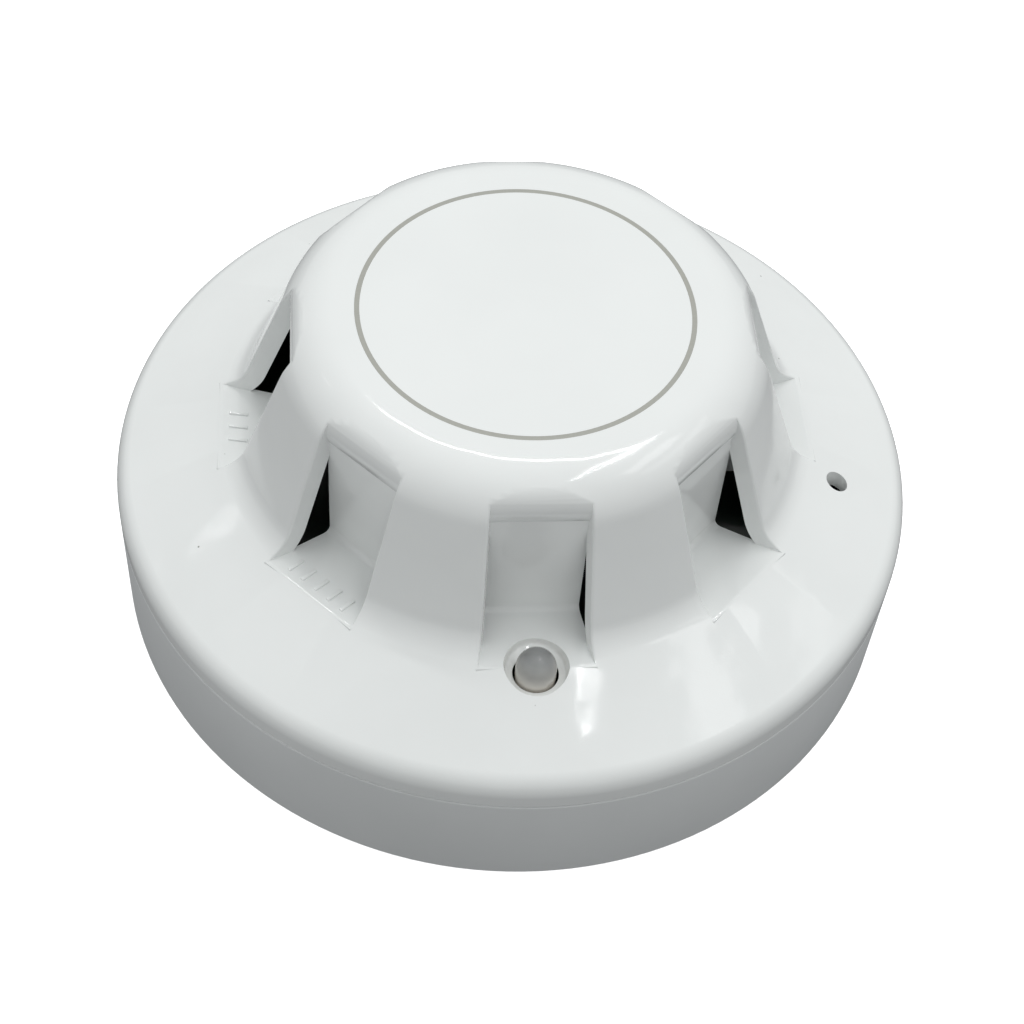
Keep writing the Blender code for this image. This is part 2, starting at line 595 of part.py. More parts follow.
# ---- head chassis -------------------------------------------------------------------
def make_chassis():
    """Round tray that closes the head and carries its bayonet lugs."""
    floor_top = CHASSIS_FLOOR_Z + CHASSIS_FLOOR
    tray = turned("head_chassis", [
        (0.0, floor_top), (CHASSIS_INNER, floor_top), (CHASSIS_INNER, CHASSIS_TOP_Z),
        (CHASSIS_RADIUS, CHASSIS_TOP_Z), (CHASSIS_RADIUS, CHASSIS_FLOOR_Z),
        (0.0, CHASSIS_FLOOR_Z)], BLACK)
    lug = sector(CHASSIS_RADIUS - CHASSIS_WALL / 2, BASE_SKIRT_INNER - LUG_GAP, LUG_ANGLE)
    lugs = [plate(f"lug_{index}", lug, CHASSIS_FLOOR_Z, CHASSIS_FLOOR_Z + LUG_HEIGHT, None,
                  facing(LUG_AZIMUTH + index * TURN / LUG_COUNT)) for index in range(LUG_COUNT)]
    posts = [rod(f"post_{index}", POST_RADIUS, floor_top - CHASSIS_FLOOR / 2, BOARD_Z - PART_GAP,
                 None, 12, facing(azimuth, POST_AXIS_RADIUS))
             for index, azimuth in enumerate(POST_AZIMUTHS)]
    sleeve_outer = LOCK_SCREW_RADIUS + LOCK_SLEEVE_WALL + 2 * PART_GAP
    lock_boss = rod("lock_boss", sleeve_outer + LOCK_BOSS_WALL, CHASSIS_FLOOR_Z, CHASSIS_TOP_Z, None,
                    20, facing(LOCK_AZIMUTH, LOCK_AXIS_RADIUS))
    combine(tray, [*lugs, *posts, lock_boss], 'UNION')
    cuts = [rod("lock_bore", sleeve_outer, floor_top - PART_GAP, CHASSIS_TOP_Z + PART_GAP, None, 20,
                facing(LOCK_AZIMUTH, LOCK_AXIS_RADIUS)),
            rod("lock_tip_hole", LOCK_SCREW_RADIUS + PART_GAP, CHASSIS_FLOOR_Z - PART_GAP, floor_top,
                None, 16, facing(LOCK_AZIMUTH, LOCK_AXIS_RADIUS))]
    cuts += [rod(f"post_hole_{index}", BOARD_SCREW["shank"] + PART_GAP,
                 BOARD_TOP_Z - BOARD_SCREW["length"] - PART_GAP, BOARD_Z, None, 10,
                 facing(azimuth, POST_AXIS_RADIUS)) for index, azimuth in enumerate(POST_AZIMUTHS)]
    cuts += [rod(f"chassis_hole_{index}", CHASSIS_SCREW["shank"] + PART_GAP,
                 CHASSIS_FLOOR_Z - PART_GAP, floor_top + PART_GAP, None, 12,
                 facing(azimuth, BOSS_AXIS_RADIUS)) for index, azimuth in enumerate(BOSS_AZIMUTHS)]
    slot = (BLADE_WIDTH + 2 * PART_GAP, BLADE_THICKNESS + 2 * PART_GAP, CHASSIS_FLOOR * 2)
    cuts += [block(f"blade_slot_{index}", slot, None, blade_place(index),
                   CHASSIS_FLOOR_Z - CHASSIS_FLOOR / 2) for index in range(TERMINAL_COUNT)]
    return combine(tray, cuts)


def terminal_place(index):
    """Frame of one terminal, +X outwards, on the ceiling face."""
    return facing(TERMINAL_AZIMUTH + index * TURN / TERMINAL_COUNT, TERMINAL_RADIUS)


def blade_place(index):
    """Frame of the head's contact blade that lies over a terminal's leaf."""
    return terminal_place(index) @ Matrix.Translation((0.0, BLADE_OFFSET, 0.0))


def make_screw(name, sizes, place, steps=20, slotted=True):
    """Pan-head screw that stands on the underside of its head, shank down."""
    height = sizes["head_height"]
    crown = height * SCREW_CROWN
    screw = turned(name, [
        (0.0, height), (sizes["head"] - crown, height), (sizes["head"], height - crown),
        (sizes["head"], 0.0), (sizes["shank"], 0.0), (sizes["shank"], -sizes["length"]),
        (0.0, -sizes["length"])], STEEL, steps, False, place)
    if slotted:
        cross = (sizes["head"] * CROSS_LENGTH, height * CROSS_WIDTH, height)
        arms = [block(f"{name}_slot_{arm}", cross, None,
                      place @ Matrix.Rotation(math.radians(90.0 * arm), 4, 'Z'), height / 2)
                for arm in range(2)]
        combine(screw, arms)
    return screw


def make_head_fasteners():
    """Screws that hold the cover to the chassis, and the board to its posts."""
    upside_down = Matrix.Rotation(math.pi, 4, 'X')
    for index, azimuth in enumerate(BOSS_AZIMUTHS, 1):
        place = facing(azimuth, BOSS_AXIS_RADIUS, CHASSIS_FLOOR_Z - PART_GAP) @ upside_down
        make_screw(f"chassis_screw_{index}", CHASSIS_SCREW, place, 16)
    for index, azimuth in enumerate(POST_AZIMUTHS, 1):
        place = facing(azimuth, POST_AXIS_RADIUS, BOARD_TOP_Z + PART_GAP)
        make_screw(f"board_screw_{index}", BOARD_SCREW, place, 12)


def make_blades():
    """Plated contact blades: a foot over each leaf and a tab up to the board."""
    foot_low = LEAF_TOP_Z + PART_GAP
    half = BLADE_FOOT / 2
    tab = BLADE_THICKNESS / 2
    outline = [(-half, foot_low), (half, foot_low), (half, foot_low + BLADE_THICKNESS),
               (tab, foot_low + BLADE_THICKNESS), (tab, BOARD_Z - PART_GAP),
               (-tab, BOARD_Z - PART_GAP), (-tab, foot_low + BLADE_THICKNESS),
               (-half, foot_low + BLADE_THICKNESS)]
    upright = Matrix(((0, 0, 1, 0), (1, 0, 0, 0), (0, 1, 0, 0), (0, 0, 0, 1)))
    for index in range(TERMINAL_COUNT):
        plate(f"contact_blade_{index + 1}", outline, -BLADE_WIDTH / 2, BLADE_WIDTH / 2, BRASS,
              blade_place(index) @ upright)


# ---- circuit board ------------------------------------------------------------------
def make_board():
    """Round circuit board with clearance round the bosses and the lock."""
    board = rod("circuit_board", BOARD_RADIUS, BOARD_Z, BOARD_TOP_Z, BOARD_GREEN, 48)
    lock_clear = LOCK_SCREW_RADIUS + LOCK_SLEEVE_WALL + LOCK_BOSS_WALL + 3 * PART_GAP
    low, high = BOARD_Z - PART_GAP, BOARD_TOP_Z + PART_GAP
    cuts = [rod("board_lock_notch", lock_clear, low, high, None, 20,
                facing(LOCK_AZIMUTH, LOCK_AXIS_RADIUS))]
    cuts += [rod(f"board_boss_notch_{index}", BOSS_RADIUS + PART_GAP, low, high, None, 16,
                 facing(azimuth, BOSS_AXIS_RADIUS)) for index, azimuth in enumerate(BOSS_AZIMUTHS)]
    cuts += [rod(f"board_hole_{index}", BOARD_SCREW["shank"] + PART_GAP, low, high, None, 10,
                 facing(azimuth, POST_AXIS_RADIUS)) for index, azimuth in enumerate(POST_AZIMUTHS)]
    return combine(board, cuts)


def make_components():
    """Larger parts on the board: controller, bridge, capacitor and transistor."""
    seat = BOARD_TOP_Z + PART_GAP
    packages = {"microcontroller": CONTROLLER, "bridge_rectifier": BRIDGE,
                "line_transistor": TRANSISTOR}
    for name, part in packages.items():
        place = facing(part["azimuth"], BOARD_RADIUS - part["inset"])
        block(name, part["size"], CHIP, place, seat, PACKAGE_EDGE)
    can = CAPACITOR["radius"]
    top = seat + CAPACITOR["height"]
    turned("supply_capacitor", [
        (0.0, top), (can - PACKAGE_EDGE, top), (can, top - PACKAGE_EDGE), (can, seat), (0.0, seat)],
        CAN, 20, False, facing(CAPACITOR["azimuth"], DOME_FOOT_RADIUS - CAPACITOR["inset"]))


# ---- sensing chamber ----------------------------------------------------------------
def make_cage():
    """Black cage round the sensing elements, with a window behind each pillar."""
    inner = CAGE_RADIUS - CAGE_WALL
    flat = CAGE_RADIUS - CAGE_CROWN
    cage = turned("sensor_cage", [
        (0.0, CAGE_TOP_Z), (flat, CAGE_TOP_Z), (CAGE_RADIUS, CAGE_SHOULDER_Z),
        (CAGE_RADIUS, CAGE_Z), (inner, CAGE_Z), (inner, CAGE_SHOULDER_Z - CAGE_WALL / 2),
        (flat - CAGE_WALL / 2, CAGE_TOP_Z - CAGE_WALL), (0.0, CAGE_TOP_Z - CAGE_WALL)], BLACK, 48)
    sill = CAGE_Z + CAGE_WINDOW_LIFT
    size = (CAGE_WALL * 4, CAGE_WINDOW_WIDTH, CAGE_SHOULDER_Z - CAGE_WINDOW_DROP - sill)
    pitch = TURN / RECESS_COUNT
    windows = [block(f"cage_window_{index}", size, None, facing((index + 0.5) * pitch, CAGE_RADIUS),
                     sill) for index in range(RECESS_COUNT)]
    return combine(cage, windows)


def make_screen():
    """Gauze sleeve that keeps insects out of the cage."""
    inner = CAGE_RADIUS + PART_GAP
    return ring("insect_screen", inner, inner + SCREEN_WALL, CAGE_Z + SCREEN_LIFT,
                CAGE_TOP_Z - SCREEN_DROP, SCREEN, 48)


def make_thermistors():
    """Glass-bead thermistors standing on their leads inside the cage."""
    for index, azimuth in enumerate((0.0, 180.0), 1):
        place = facing(azimuth, CAGE_RADIUS - BEAD_INSET)
        profile = [(BEAD_RADIUS * math.sin(turn),
                    BEAD_Z + BEAD_RADIUS * BEAD_STRETCH * math.cos(turn))
                   for turn in (math.pi * step / 8 for step in range(9))]
        profile[0] = (0.0, profile[0][1])
        profile[-1] = (0.0, profile[-1][1])
        bead = turned(f"thermistor_{index}", profile, GLASS_BEAD, 16, False, place)
        leads = [rod(f"bead_lead_{index}_{side}", BEAD_LEAD_RADIUS, BOARD_TOP_Z + PART_GAP, BEAD_Z,
                     None, 8, place @ Matrix.Translation((0.0, side * BEAD_LEAD_SPACING / 2, 0.0)))
                 for side in (-1, 1)]
        combine(bead, leads, 'UNION')


# ---- base ---------------------------------------------------------------------------
def slot_outline(length, width, steps=6):
    """Slot with round ends, along X."""
    radius = width / 2
    reach = length / 2 - radius
    right = [(reach + radius * math.cos(turn), radius * math.sin(turn))
             for turn in (-math.pi / 2 + math.pi * step / steps for step in range(steps + 1))]
    return right + [(-x, -y) for x, y in right]


def make_base():
    """White mounting base: skirt, floor, cable collar, ledges, stops and terminal blocks."""
    base = turned("base_body", [
        (BODY_RADIUS, BASE_HEIGHT), (BODY_RADIUS, 0.0), (CABLE_EYE_RADIUS, 0.0),
        (CABLE_EYE_RADIUS, BASE_FLOOR + CABLE_COLLAR_HEIGHT),
        (CABLE_EYE_RADIUS + CABLE_COLLAR_WALL, BASE_FLOOR + CABLE_COLLAR_HEIGHT),
        (CABLE_EYE_RADIUS + CABLE_COLLAR_WALL, BASE_FLOOR), (BASE_SKIRT_INNER, BASE_FLOOR),
        (BASE_SKIRT_INNER, BASE_HEIGHT)], BASE_WHITE, RING_STEPS, True)
    bury = BASE_WALL / 2
    ledge = sector(BASE_SKIRT_INNER - LEDGE_DEPTH, BASE_SKIRT_INNER + bury, LEDGE_ANGLE, 6)
    stop = sector(BASE_SKIRT_INNER - LEDGE_DEPTH, BASE_SKIRT_INNER + bury, STOP_ANGLE, 1)
    beyond = LUG_ANGLE / 2 + STOP_SLACK + STOP_ANGLE / 2
    joined = []
    for index in range(LUG_COUNT):
        azimuth = LUG_AZIMUTH + index * TURN / LUG_COUNT
        joined.append(plate(f"ledge_{index}", ledge, LEDGE_Z, LEDGE_Z + LEDGE_HEIGHT, None,
                            facing(azimuth)))
        for side, turn in (("lock", -beyond), ("open", TWIST_ANGLE + beyond)):
            joined.append(plate(f"stop_{side}_{index}", stop, CHASSIS_FLOOR_Z - LUG_HEIGHT / 2,
                                LEDGE_Z + LEDGE_HEIGHT / 2, None, facing(azimuth + turn)))
    rib_top = CHASSIS_FLOOR_Z - LOCK_RIB_GAP
    lock_place = facing(LOCK_AZIMUTH, LOCK_AXIS_RADIUS)
    joined.append(block("lock_rib", (*LOCK_RIB, rib_top - BASE_FLOOR / 2), None, lock_place,
                        BASE_FLOOR / 2))
    joined += [block(f"terminal_block_{index}", (TERMINAL_BLOCK[0], TERMINAL_BLOCK[1],
                                                 TERMINAL_BLOCK[2] + BASE_FLOOR / 2), None,
                     terminal_place(index), BASE_FLOOR / 2) for index in range(TERMINAL_COUNT)]
    combine(base, joined, 'UNION')
    cuts = [plate(f"fixing_slot_{index}", slot_outline(FIXING_SLOT_LENGTH, FIXING_SLOT_WIDTH),
                  -PART_GAP, BASE_FLOOR + PART_GAP, None, facing(azimuth, FIXING_SLOT_RADIUS))
            for index, azimuth in enumerate((90.0, 270.0))]
    cuts.append(rod("lock_pocket", LOCK_SCREW_RADIUS + PART_GAP, rib_top - LOCK_POCKET_DEPTH,
                    rib_top + PART_GAP, None, 16, lock_place))
    shank = TERMINAL_SCREW["shank"] + SCREW_CLEARANCE
    cuts += [rod(f"terminal_hole_{index}", shank, SCREW_HEAD_Z - TERMINAL_SCREW["length"] - PART_GAP,
                 STRIP_Z, None, 16, terminal_place(index)) for index in range(TERMINAL_COUNT)]
    return combine(base, cuts)


def leaf_line():
    """Side view of a terminal strip: flat under the clamp, then an arched contact leaf."""
    flat = STRIP_Z
    rise = flat + LEAF_HEIGHT
    middle = (LEAF_START + LEAF_END) / 2
    quarter = (LEAF_END - LEAF_START) / 4
    return rounded([(-TERMINAL_BLOCK[1] / 2 + PART_GAP, flat), (LEAF_START, flat, LEAF_BEND),
                    (middle - quarter, rise, LEAF_BEND), (middle + quarter, rise, LEAF_BEND),
                    (LEAF_END, rise - LEAF_HEIGHT / 2)], 3)


def make_strip(index):
    """Sprung terminal strip: a bent ribbon given its thickness, with a screw hole."""
    name = f"terminal_strip_{index + 1}"
    curve = bpy.data.curves.new(name, 'CURVE')
    curve.dimensions = '2D'
    curve.fill_mode = 'NONE'
    curve.extrude = STRIP_WIDTH / 2
    line = leaf_line()
    spline = curve.splines.new('POLY')
    spline.points.add(len(line) - 1)
    for point, (along, up) in zip(spline.points, line):
        point.co = (along, up, 0.0, 1.0)
    upright = Matrix(((0, 0, 1, 0), (1, 0, 0, 0), (0, 1, 0, 0), (0, 0, 0, 1)))
    strip = solid_from_curve(name, curve, BRASS, terminal_place(index) @ upright)
    thick = strip.modifiers.new("thickness", 'SOLIDIFY')
    thick.thickness = STRIP_THICKNESS
    thick.offset = strip_side(strip)
    hole = rod(f"strip_hole_{index}", TERMINAL_SCREW["shank"] + SCREW_CLEARANCE,
               STRIP_Z - PART_GAP, CLAMP_Z, None, 16, terminal_place(index))
    return combine(strip, [hole])


def strip_side(strip):
    """Offset that puts a ribbon's thickness on its upper side."""
    flat = max(strip.data.polygons, key=lambda face: face.area)
    return 1.0 if (strip.matrix_world.to_3x3() @ flat.normal).z > 0 else -1.0


def make_terminals():
    """Terminal strips, clamp plates and screws."""
    for index in range(TERMINAL_COUNT):
        make_strip(index)
        hole = circle(TERMINAL_SCREW["shank"] + SCREW_CLEARANCE, 16)
        long, wide, thick = CLAMP_SIZE
        square = [(-long / 2, -wide / 2), (long / 2, -wide / 2), (long / 2, wide / 2),
                  (-long / 2, wide / 2)]
        plate(f"clamp_plate_{index + 1}", square, CLAMP_Z, CLAMP_Z + thick, STEEL,
              terminal_place(index), [hole])
        place = terminal_place(index) @ Matrix.Translation((0.0, 0.0, SCREW_HEAD_Z))
        make_screw(f"terminal_screw_{index + 1}", TERMINAL_SCREW, place)


def main():
    """Build every piece of the detector."""
    make_base()
    make_terminals()
    make_chassis()
    make_head_fasteners()
    make_blades()
    make_board()
    make_components()
    make_thermistors()
    make_cage()
    make_screen()
    make_led()
    make_lock()
    make_face_ring()
    make_cover()
    for thing in PARTS.objects:
        smooth(thing)


main()
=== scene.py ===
import math
import bpy
from mathutils import Matrix, Vector


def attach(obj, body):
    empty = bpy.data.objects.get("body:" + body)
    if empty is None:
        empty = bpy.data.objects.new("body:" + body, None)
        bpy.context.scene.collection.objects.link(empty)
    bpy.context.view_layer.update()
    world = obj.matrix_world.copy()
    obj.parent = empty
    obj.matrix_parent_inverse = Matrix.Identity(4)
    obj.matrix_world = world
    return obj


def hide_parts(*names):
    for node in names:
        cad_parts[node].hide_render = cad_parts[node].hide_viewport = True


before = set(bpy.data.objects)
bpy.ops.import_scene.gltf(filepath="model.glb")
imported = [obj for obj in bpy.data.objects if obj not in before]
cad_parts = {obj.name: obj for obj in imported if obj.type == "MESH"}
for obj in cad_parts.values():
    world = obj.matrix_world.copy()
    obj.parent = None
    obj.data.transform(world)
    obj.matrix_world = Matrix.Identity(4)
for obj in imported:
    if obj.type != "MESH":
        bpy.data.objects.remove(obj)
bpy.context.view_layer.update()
mm = 0.001
turn = 2 * math.pi

# ---- small helpers used by every piece

def nothingSelected():
    bpy.ops.object.select_all(action="DESELECT")


def makeActive(piece):
    nothingSelected()
    piece.select_set(True)
    bpy.context.view_layer.objects.active = piece


def keepShape(piece, kind, **settings):
    # add one modifier and apply it straight away
    makeActive(piece)
    step = piece.modifiers.new(kind.lower(), kind)
    for name, value in settings.items():
        setattr(step, name, value)
    bpy.ops.object.modifier_apply(modifier=step.name)


def settle(piece, matrix=None):
    # put a piece's place into its mesh, so that its object stays at the origin
    if matrix is not None:
        piece.matrix_world = matrix
    makeActive(piece)
    bpy.ops.object.transform_apply(location=True, rotation=True, scale=True)


def facing(azimuth, radius=0.0, z=0.0):
    # frame at an azimuth from -Y towards +X: its X points outwards, its Y along the turn
    spin = math.radians(azimuth)
    place = Vector((radius * math.sin(spin), -radius * math.cos(spin), z))
    return Matrix.Translation(place) @ Matrix.Rotation(spin - turn / 4, 4, "Z")


def rounded(corners, arcSteps):
    # (x, y) or (x, y, fillet) corners to points, with each fillet as an arc
    points = [Vector(corners[0][:2])]
    for before, corner, after in zip(corners, corners[1:], corners[2:]):
        here = Vector(corner[:2])
        if len(corner) < 3:
            points.append(here)
            continue
        back = (Vector(before[:2]) - here).normalized()
        ahead = (Vector(after[:2]) - here).normalized()
        half = back.angle(ahead) / 2
        centre = here + (back + ahead).normalized() * corner[2] / math.sin(half)
        first = here + back * corner[2] / math.tan(half) - centre
        last = here + ahead * corner[2] / math.tan(half) - centre
        sweep = first.angle_signed(last)
        for step in range(arcSteps + 1):
            points.append(centre + Matrix.Rotation(-sweep * step / arcSteps, 2) @ first)
    points.append(Vector(corners[-1][:2]))
    return points


def drawOutline(name, points, closed=False):
    # a single vertex pulled along the outline, in the XZ plane
    nothingSelected()
    bpy.ops.mesh.primitive_plane_add(size=mm)
    piece = bpy.context.object
    piece.name = name
    bpy.ops.object.mode_set(mode="EDIT")
    bpy.ops.mesh.merge(type="CENTER")
    x, z = points[0]
    bpy.ops.transform.translate(value=(x, 0, z))
    for (x0, z0), (x1, z1) in zip(points, points[1:]):
        step = {"value": (x1 - x0, 0, z1 - z0)}
        bpy.ops.mesh.extrude_region_move(TRANSFORM_OT_translate=step)
    if closed:
        bpy.ops.mesh.select_all(action="SELECT")
        bpy.ops.mesh.edge_face_add()
    bpy.ops.object.mode_set(mode="OBJECT")
    return piece


def lathe(name, points, steps, closed=False):
    # spin an outline about Z; a closed one is drawn back to its start
    loop = list(points) + ([points[0]] if closed else [])
    piece = drawOutline(name, loop)
    bpy.ops.object.mode_set(mode="EDIT")
    bpy.ops.mesh.select_all(action="SELECT")
    bpy.ops.mesh.spin(steps=steps, angle=turn, center=(0, 0, 0), axis=(0, 0, 1))
    bpy.ops.mesh.select_all(action="SELECT")
    bpy.ops.mesh.remove_doubles(threshold=0.002 * mm)
    bpy.ops.mesh.normals_make_consistent(inside=False)
    bpy.ops.object.mode_set(mode="OBJECT")
    return piece


def prism(name, points, halfWidth):
    # a filled outline pulled out sideways, half to each side of the XZ plane
    piece = drawOutline(name, points, closed=True)
    bpy.ops.object.mode_set(mode="EDIT")
    bpy.ops.mesh.select_all(action="SELECT")
    bpy.ops.transform.translate(value=(0, -halfWidth, 0))
    bpy.ops.mesh.extrude_region_move(TRANSFORM_OT_translate={"value": (0, 2 * halfWidth, 0)})
    bpy.ops.mesh.select_all(action="SELECT")
    bpy.ops.mesh.normals_make_consistent(inside=False)
    bpy.ops.object.mode_set(mode="OBJECT")
    return piece


def rod(name, radius, low, high, sides=48):
    nothingSelected()
    bpy.ops.mesh.primitive_cylinder_add(vertices=sides, radius=radius, depth=high - low,
                                        location=(0, 0, (low + high) / 2))
    piece = bpy.context.object
    piece.name = name
    settle(piece)
    return piece


def copied(piece, matrix):
    twin = piece.copy()
    twin.data = piece.data.copy()
    bpy.context.collection.objects.link(twin)
    settle(twin, matrix)
    return twin


def joined(pieces):
    nothingSelected()
    for piece in pieces:
        piece.select_set(True)
    bpy.context.view_layer.objects.active = pieces[0]
    if len(pieces) > 1:
        bpy.ops.object.join()
    return pieces[0]


def ringOf(piece, azimuths, radius=0.0):
    # one copy at each azimuth, all in one object, and the pattern piece removed
    twins = [copied(piece, facing(azimuth, radius)) for azimuth in azimuths]
    bpy.data.objects.remove(piece, do_unlink=True)
    return joined(twins)


def carve(piece, tool, operation="DIFFERENCE"):
    keepShape(piece, "BOOLEAN", object=tool, operation=operation, solver="EXACT")
    bpy.data.objects.remove(tool, do_unlink=True)


def shaded(piece, angle=30):
    makeActive(piece)
    bpy.ops.object.shade_smooth_by_angle(angle=math.radians(angle))


def finished(piece, body, material, slotName, *nodes):
    piece.data.materials.clear()
    piece.data.materials.append(material)
    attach(piece, body)
    if nodes:
        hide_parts(*nodes)
    return piece


# ---- materials

def linear(code, alpha=1.0):
    # sRGB hex to linear
    shares = [int(code[place:place + 2], 16) / 255 for place in (1, 3, 5)]
    return [share / 12.92 if share <= 0.04045 else ((share + 0.055) / 1.055) ** 2.4
            for share in shares] + [alpha]


def newMaterial(name, **sockets):
    material = bpy.data.materials.new(name)
    material.use_nodes = True
    shader = material.node_tree.nodes["Principled BSDF"]
    for label, value in sockets.items():
        shader.inputs[label.replace("_", " ")].default_value = value
    return material, shader


def addNode(material, kind, links=None, **settings):
    # settings go to the node's fields or sockets; links are {socket: (node, output)}
    tree = material.node_tree
    node = tree.nodes.new("ShaderNode" + kind)
    for label, value in settings.items():
        if hasattr(node, label):
            setattr(node, label, value)
        else:
            node.inputs[label.replace("_", " ")].default_value = value
    for label, (source, output) in (links or {}).items():
        tree.links.new(source.outputs[output], node.inputs[label])
    return node


def link(material, source, output, target, label):
    material.node_tree.links.new(source.outputs[output], target.inputs[label])


def mouldedWhite(name, light, shade, roughness, grain, grainDepth, specks, waveDepth):
    # injection-moulded white plastic: even colour with faint flow clouds, a fine skin
    # texture from the mould, and a few dust specks trapped in the surface
    material, shader = newMaterial(name, Roughness=roughness, IOR=1.58)
    coords = addNode(material, "TexCoord")
    clouds = addNode(material, "TexNoise", {"Vector": (coords, "Object")},
                     Scale=1 / (22 * mm), Detail=3.0)
    tint = addNode(material, "ValToRGB", {"Fac": (clouds, "Fac")})
    tint.color_ramp.elements[0].position = 0.35
    tint.color_ramp.elements[0].color = linear(shade)
    tint.color_ramp.elements[1].position = 0.65
    tint.color_ramp.elements[1].color = linear(light)
    dots = addNode(material, "TexVoronoi", {"Vector": (coords, "Object")}, Scale=1 / (7 * mm))
    dust = addNode(material, "ValToRGB", {"Fac": (dots, "Distance")})
    dust.color_ramp.elements[0].position = 0.018 * specks
    dust.color_ramp.elements[0].color = linear("#9a9a96")
    dust.color_ramp.elements[1].position = 0.03 * specks
    dust.color_ramp.elements[1].color = linear("#ffffff")
    colour = addNode(material, "Mix", data_type="RGBA", blend_type="MULTIPLY")
    colour.inputs["Factor"].default_value = 1.0
    link(material, tint, "Color", colour, 6)
    link(material, dust, "Color", colour, 7)
    link(material, colour, 2, shader, "Base Color")
    skin = addNode(material, "TexNoise", {"Vector": (coords, "Object")}, Scale=1 / (grain * mm),
                   Detail=2.0)
    sink = addNode(material, "TexNoise", {"Vector": (coords, "Object")}, Scale=1 / (6 * mm),
                   Detail=1.0)
    wave = addNode(material, "Bump", {"Height": (sink, "Fac")}, Strength=1.0,
                   Distance=waveDepth * mm)
    bump = addNode(material, "Bump", {"Height": (skin, "Fac"), "Normal": (wave, "Normal")},
                   Strength=1.0, Distance=grainDepth * mm)
    link(material, bump, "Normal", shader, "Normal")
    return material


# polished mould: glossy white, with soft and slightly rippled reflections
coverWhite = mouldedWhite("polycarbonateMouldedGlossy", "#f7f9f8", "#f4f6f5", 0.09, 1.6, 0.005, 0.7,
                          0.10)
# plainer mould: satin, with a broad dull shine; its colour is a little greyer than the cover's,
# painted shade for the shaded side of the base
baseWhiteGreyedShade = mouldedWhite("absMouldedSatin", "#e8eaea", "#e3e5e5", 0.42, 0.35, 0.006, 0.4, 0.03)


def plain(name, colour, roughness, metallic=0.0, grain=0.3, depth=0.004, ior=1.5):
    # moulded, printed or plated finish with a fine grain and slight colour drift
    material, shader = newMaterial(name, Roughness=roughness, Metallic=metallic, IOR=ior)
    coords = addNode(material, "TexCoord")
    noise = addNode(material, "TexNoise", {"Vector": (coords, "Object")}, Scale=1 / (grain * mm),
                    Detail=4.0)
    tint = addNode(material, "ValToRGB", {"Fac": (noise, "Fac")})
    dark = [share * 0.86 for share in linear(colour)[:3]] + [1.0]
    tint.color_ramp.elements[0].color = dark
    tint.color_ramp.elements[1].color = linear(colour)
    link(material, tint, "Color", shader, "Base Color")
    bump = addNode(material, "Bump", {"Height": (noise, "Fac")}, Strength=1.0, Distance=depth * mm)
    link(material, bump, "Normal", shader, "Normal")
    return material


# flat warm grey ink with a soft edge to its shine
ringGrey = plain("padPrintedGrey", "#b3b3ab", 0.42, depth=0.002)
# black moulded plastics: the cage a little glossier than the tray behind it
cageBlack = plain("absMouldedBlack", "#17181b", 0.34, grain=0.4, depth=0.006)
chassisBlack = plain("absMouldedCharcoal", "#1d1e21", 0.42, grain=0.5, depth=0.008)
# oxide-blackened grub screw: nearly black, with a dull metal sheen
blackSteel = plain("steelBlackOxide", "#1a1b1d", 0.45, 0.9, grain=0.3)
# nickel over brass: warm, bright and smooth
nickelBrass = plain("brassNickelPlated", "#c9c0a8", 0.28, 1.0, grain=0.5, depth=0.002)
# zinc plate: cool, slightly cloudy metal
zincSteel = plain("steelZincPlated", "#b4b6b8", 0.33, 1.0, grain=0.4, depth=0.002)
# moulded chip epoxy: matt, faintly gritty black
chipEpoxy = plain("epoxyMouldedChip", "#1b1b1d", 0.55, grain=0.15, depth=0.006)
# heat-shrunk sleeve: smooth dark blue with a broad shine
canSleeve = plain("shrinkSleeveNavy", "#1d2238", 0.32, grain=0.6, depth=0.003)
# solder mask: green darkened to near black, painted shade for the dark inside of the head, with the
# board's slight ripple
boardMaskShadeDarkened = plain("solderMaskGreenShadeDarkened", "#0f2419", 0.4, grain=1.2, depth=0.003)
# glass-coated bead: brown, wet-looking
glassBead = plain("glassCoatedBead", "#7d3a26", 0.12, grain=0.5, depth=0.001)
# tinned copper wire: soft bright grey
tinnedWire = plain("copperWireTinned", "#bfc0bd", 0.3, 1.0)


def wovenGauze(name, colour, roughness, radius, pitch):
    # blackened wire cloth: two sets of wires a pitch apart; the weave is the cloth's own, and the
    # near-black gaps between the wires are painted shade for the dark chamber seen through the
    # openings
    material, shader = newMaterial(name, Roughness=roughness, Metallic=0.6)
    coords = addNode(material, "TexCoord")
    parts = addNode(material, "SeparateXYZ", {"Vector": (coords, "Object")})
    angle = addNode(material, "Math", {0: (parts, "Y"), 1: (parts, "X")}, operation="ARCTAN2")
    waves = []
    for source, output, rate in ((angle, "Value", radius / pitch), (parts, "Z", 1 / (pitch * mm))):
        rated = addNode(material, "Math", {0: (source, output)}, operation="MULTIPLY")
        rated.inputs[1].default_value = rate * turn
        waves.append(addNode(material, "Math", {0: (rated, "Value")}, operation="SINE"))
    weave = addNode(material, "Math", {0: (waves[0], "Value"), 1: (waves[1], "Value")},
                    operation="MAXIMUM")
    tint = addNode(material, "ValToRGB", {"Fac": (weave, "Value")})
    tint.color_ramp.elements[0].position = 0.2
    # painted shade: near-black in the gaps between the wires
    tint.color_ramp.elements[0].color = linear("#050506")
    tint.color_ramp.elements[1].position = 0.75
    tint.color_ramp.elements[1].color = linear(colour)
    link(material, tint, "Color", shader, "Base Color")
    bump = addNode(material, "Bump", {"Height": (weave, "Value")}, Strength=1.0,
                   Distance=pitch / 6 * mm)
    link(material, bump, "Normal", shader, "Normal")
    return material


gauzeSteel = wovenGauze("stainlessClothBlackened", "#4b4c5a", 0.4, 24.3, 0.45)

